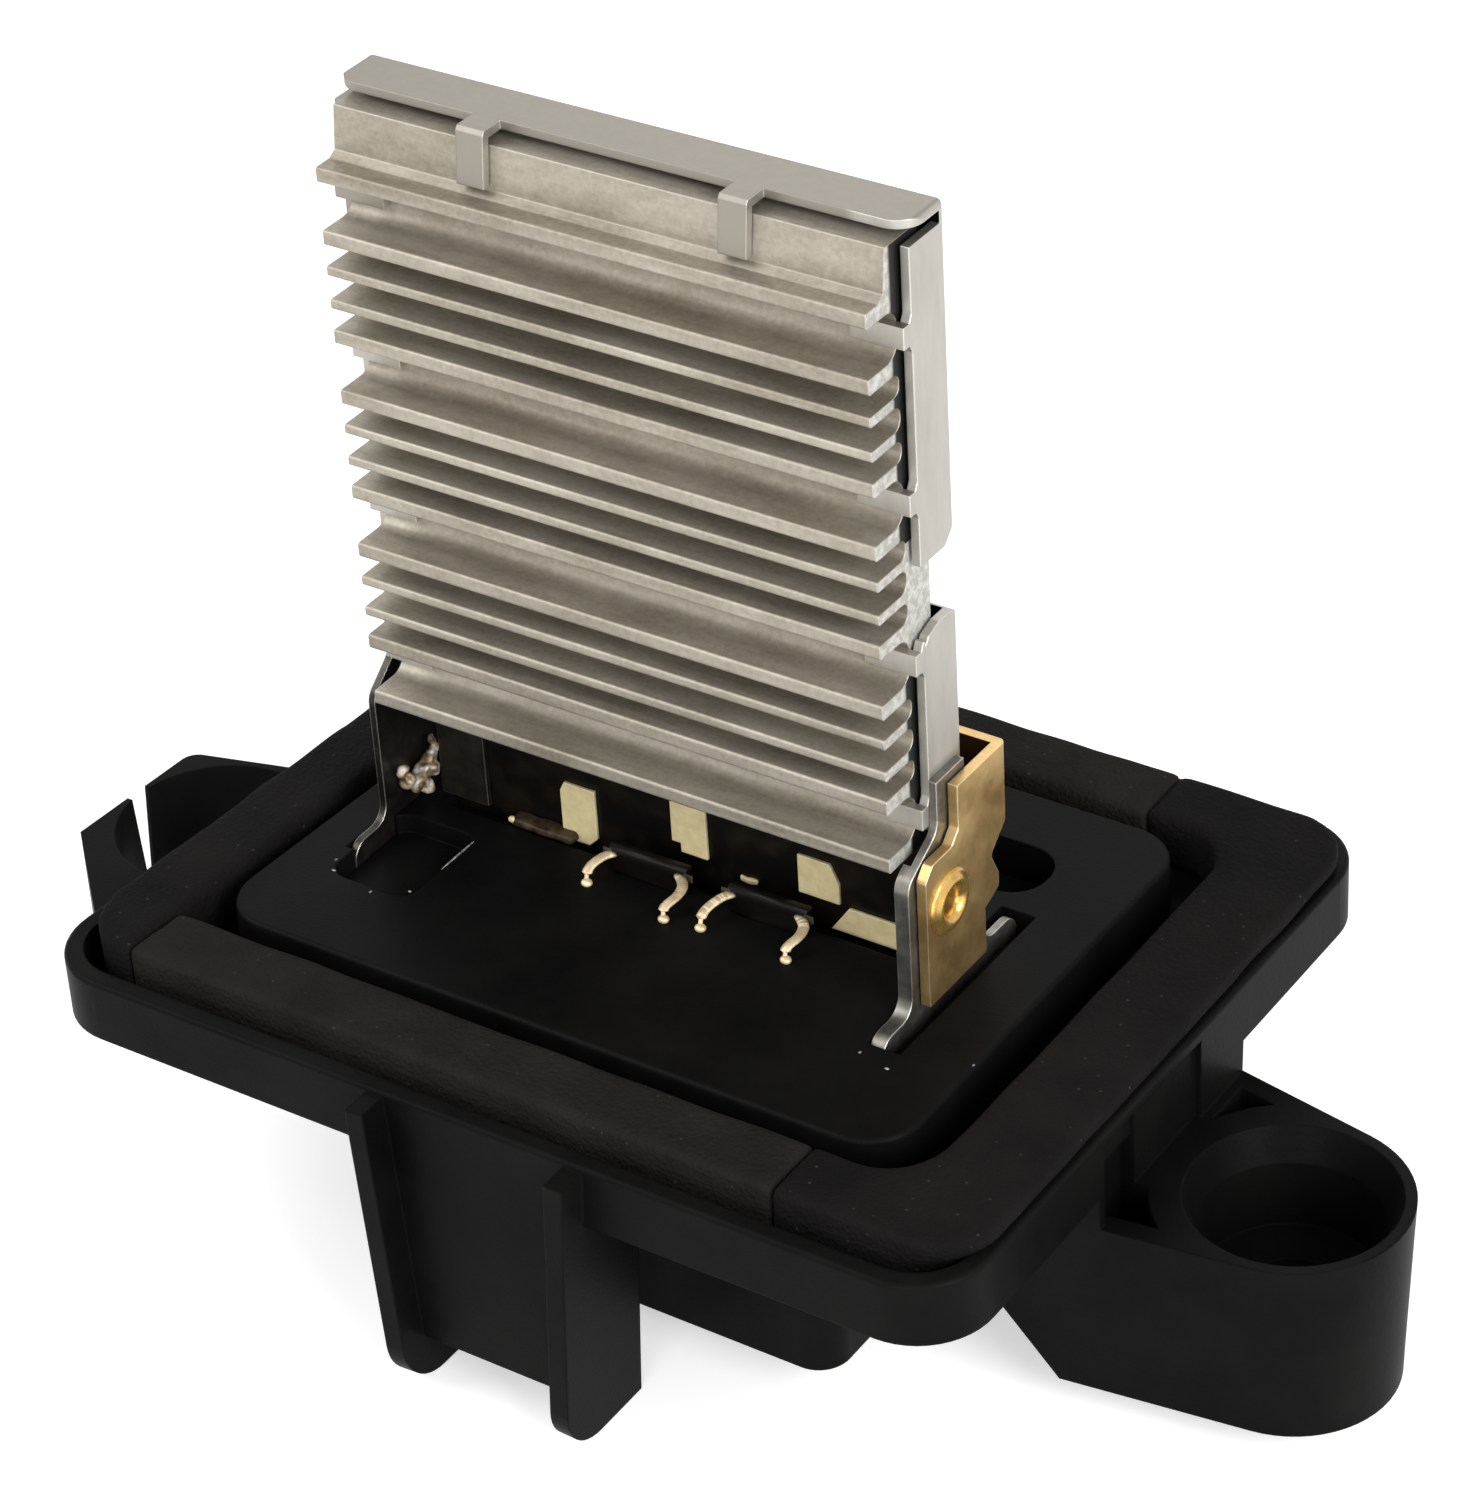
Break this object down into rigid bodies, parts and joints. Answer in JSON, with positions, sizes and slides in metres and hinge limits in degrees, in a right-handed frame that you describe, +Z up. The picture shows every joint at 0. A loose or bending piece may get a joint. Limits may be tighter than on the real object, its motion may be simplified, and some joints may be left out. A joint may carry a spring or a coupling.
{
  "type": "blower motor resistor",
  "caption": "Finned resistor module on a moulded base with a foam gasket, a connector shroud with a latch guard, a screw boss and a split locating socket.",
  "frame": {"origin": "middle of the tray, level with the top of its lip: the centre of the opening in the blower case that the heat sink goes through", "axes": "+X along the tray towards the screw boss, +Z up along the heat sink, away from the connector shroud; the connector's latch faces -Y"},
  "size_m": [0.1077, 0.0657, 0.0903],
  "materials": {
    "housing_plastic": "satin moulded",
    "gasket_foam": "matt closed-cell foam",
    "sink_aluminium": "extruded, satin",
    "frame_steel": "bright sheet",
    "card_ceramic": "dark coat",
    "terminal_brass": "tinned",
    "clip_brass": "bright",
    "bare_pad": "tinned",
    "solder": "solder",
    "rivet_brass": "bright"
  },
  "bodies": {
    "root": {"base_housing": "housing_plastic", "gasket_left": "gasket_foam", "gasket_right": "gasket_foam", "gasket_front": "gasket_foam", "gasket_rear": "gasket_foam", "heat_sink": "sink_aluminium", "clamp_frame": "frame_steel", "resistor_card": "card_ceramic", "left_terminal": "terminal_brass", "right_terminal": "terminal_brass", "middle_terminal_left": "terminal_brass", "middle_terminal_right": "terminal_brass", "contact_pad_left": "bare_pad", "contact_pad_centre": "bare_pad", "contact_pad_right": "bare_pad", "contact_pad_low": "bare_pad", "contact_strip": "bare_pad", "solder_joint": "solder", "fuse_clip": "clip_brass", "fuse_solder": "solder", "hollow_rivet": "rivet_brass"}
  },
  "joints": []
}
